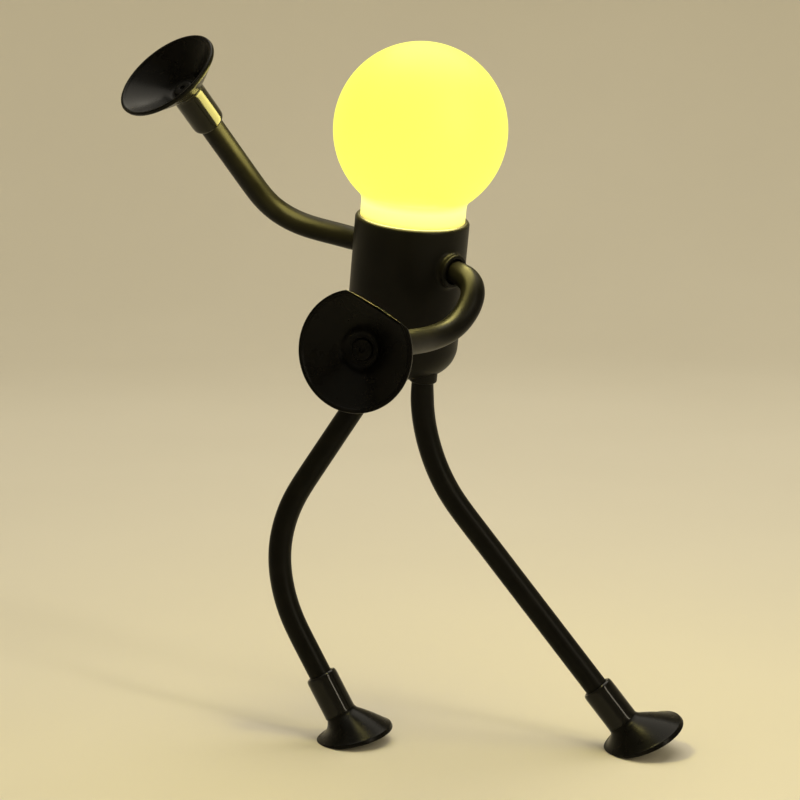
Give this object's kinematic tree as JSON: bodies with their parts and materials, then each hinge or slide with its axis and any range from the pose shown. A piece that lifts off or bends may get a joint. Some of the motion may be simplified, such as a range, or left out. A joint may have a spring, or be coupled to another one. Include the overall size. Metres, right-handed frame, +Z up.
{
  "type": "figure night light",
  "caption": "Table night light shaped as a small figure: frosted globe head on a round black torso, bendable limbs that end in suction cups, push button and charging socket behind.",
  "frame": {"origin": "on the ground, under the middle of the footprint of the whole figure", "axes": "+Z up; the pictured side looks along +Y, with +X to the right of the picture"},
  "size_m": [0.1946, 0.1348, 0.2506],
  "materials": {
    "frosted_globe": "frosted, lit warm from inside",
    "satin_black": "satin",
    "gloss_black": "gloss",
    "soft_black": "satin, soft",
    "cup_black": "smooth, slightly glossy",
    "steel": "plain",
    "brass": "plain",
    "inner_plastic": "moulded",
    "cell_wrap": "foil",
    "circuit_board": "solder mask",
    "lamp_board": "white solder mask",
    "led_phosphor": "gel",
    "switch_black": "moulded"
  },
  "bodies": {
    "torso": {"globe": "frosted_globe", "torso_casing": "satin_black", "base_cap": "satin_black", "base_screws": "steel", "inner_deck": "inner_plastic", "battery_cell": "cell_wrap", "control_board": "circuit_board", "charge_inlet": "steel", "tact_switch": "switch_black", "led_board": "lamp_board", "led_chips": "led_phosphor", "led_screws": "steel", "core_roots": "steel", "core_collars": "brass", "collar_screws": "steel"},
    "button": {"power_button": "gloss_black", "switch_plunger": "switch_black"},
    "raised_arm_upper": {"raised_arm_upper_sheath": "soft_black", "raised_arm_upper_core": "steel"},
    "raised_arm_lower": {"raised_arm_lower_sheath": "soft_black", "raised_arm_lower_core": "steel", "raised_arm_cup": "cup_black"},
    "bent_arm_upper": {"bent_arm_upper_sheath": "soft_black", "bent_arm_upper_core": "steel"},
    "bent_arm_lower": {"bent_arm_lower_sheath": "soft_black", "bent_arm_lower_core": "steel", "bent_arm_cup": "cup_black"},
    "left_leg_upper": {"left_leg_upper_sheath": "soft_black", "left_leg_upper_core": "steel"},
    "left_leg_lower": {"left_leg_lower_sheath": "soft_black", "left_leg_lower_core": "steel", "left_leg_cup": "cup_black"},
    "right_leg_upper": {"right_leg_upper_sheath": "soft_black", "right_leg_upper_core": "steel"},
    "right_leg_lower": {"right_leg_lower_sheath": "soft_black", "right_leg_lower_core": "steel", "right_leg_cup": "cup_black"}
  },
  "joints": [
    {"name": "button_press", "type": "slide", "parent": "torso", "child": "button", "axis": [-0.7057, -0.7057, -0.0627], "range_m": [0, 0.0005], "stiffness_N_per_m": 3000, "springref_m": -0.0002},
    {"name": "raised_arm_shoulder", "type": "hinge", "parent": "torso", "child": "raised_arm_upper", "pos_m": [-0.01595, 0.0577, 0.17812], "axis": [0.7057, 0.7057, 0.0627], "range_deg": [-20, 15]},
    {"name": "raised_arm_elbow", "type": "hinge", "parent": "raised_arm_upper", "child": "raised_arm_lower", "pos_m": [-0.03394, 0.06283, 0.18254], "axis": [0.1946, 0.6745, 0.7122], "range_deg": [-30, 25]},
    {"name": "bent_arm_shoulder", "type": "hinge", "parent": "torso", "child": "bent_arm_upper", "pos_m": [0.0157, 0.02678, 0.1699], "axis": [0.0858, -0.173, 0.9812], "range_deg": [-5, 20]},
    {"name": "bent_arm_elbow", "type": "hinge", "parent": "bent_arm_upper", "child": "bent_arm_lower", "pos_m": [0.02085, 0.0147, 0.16022], "axis": [-0.7278, 0.6822, 0.0699], "range_deg": [-25, 5]},
    {"name": "left_leg_hip", "type": "hinge", "parent": "torso", "child": "left_leg_upper", "pos_m": [-0.0122, 0.05782, 0.1346], "axis": [0, 1, 0], "range_deg": [-8, 12]},
    {"name": "left_leg_knee", "type": "hinge", "parent": "left_leg_upper", "child": "left_leg_lower", "pos_m": [-0.04685, 0.04728, 0.06533], "axis": [0, 1, 0], "range_deg": [-5, 25]},
    {"name": "right_leg_hip", "type": "hinge", "parent": "torso", "child": "right_leg_upper", "pos_m": [0.00468, 0.04133, 0.13022], "axis": [0, 1, 0], "range_deg": [-12, 8]},
    {"name": "right_leg_knee", "type": "hinge", "parent": "right_leg_upper", "child": "right_leg_lower", "pos_m": [0.03444, 0.03852, 0.06301], "axis": [0, 1, 0], "range_deg": [-25, 5]}
  ]
}
